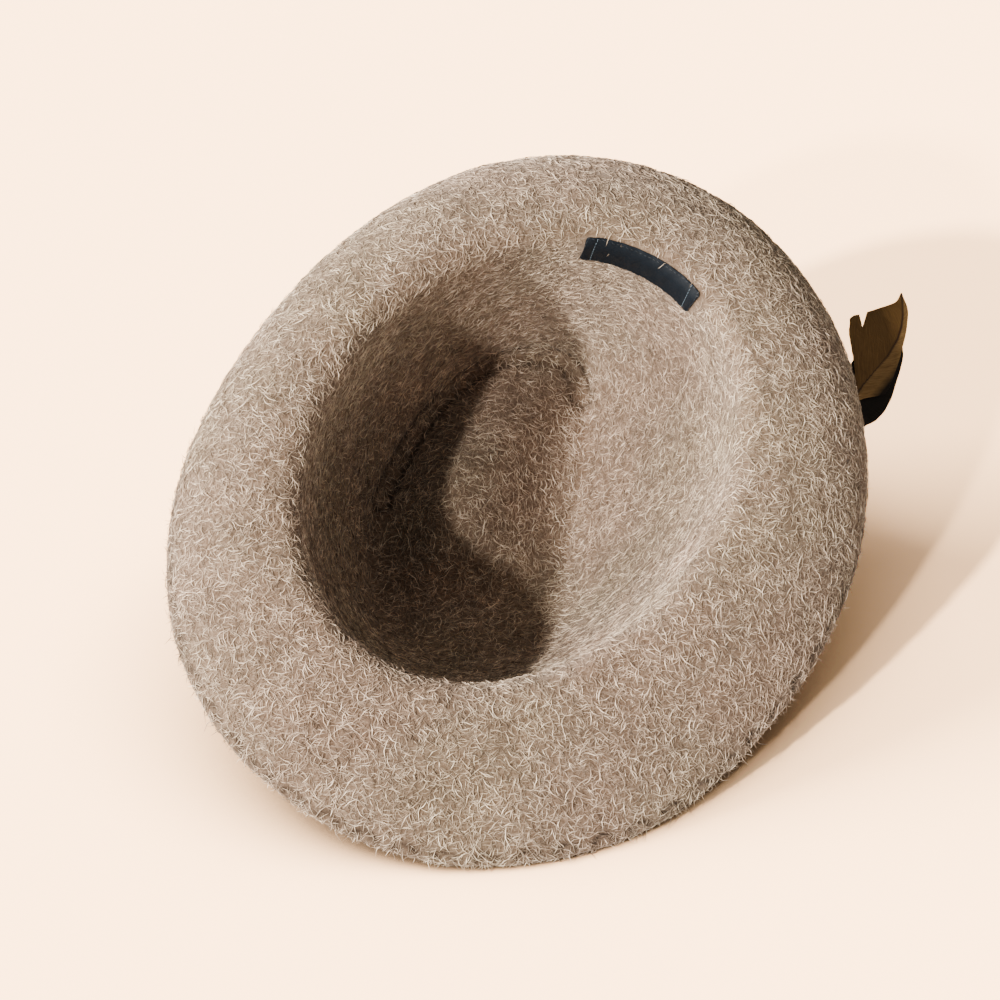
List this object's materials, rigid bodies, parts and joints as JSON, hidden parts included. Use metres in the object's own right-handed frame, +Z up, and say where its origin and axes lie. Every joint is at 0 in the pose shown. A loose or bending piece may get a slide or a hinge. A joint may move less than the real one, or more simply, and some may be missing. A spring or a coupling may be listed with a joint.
{
  "type": "tyrolean hat",
  "caption": "Soft long-haired felt hat with a pinched tip, narrow band, side knot holding a brown and a black feather, and a woven label inside, lying upside down on its crown and brim.",
  "frame": {"origin": "middle of the bounding box, on the floor", "axes": "+Z up from the floor; the low side of the brim, at the wearer's right of the front, points along -Y; the feathers point to +X and +Y"},
  "size_m": [0.3136, 0.274, 0.166],
  "materials": {
    "felt": "long-haired wool felt, taupe with cream hairs",
    "ribbon": "ribbed ribbon, matt",
    "brown_feather": "feather, satin",
    "black_feather": "feather, satin",
    "label": "satin weave"
  },
  "bodies": {
    "root": {"felt_body": "felt", "hat_band": "ribbon", "band_knot": "ribbon", "feather_brown": "brown_feather", "feather_black": "black_feather", "label": "label"}
  },
  "joints": []
}
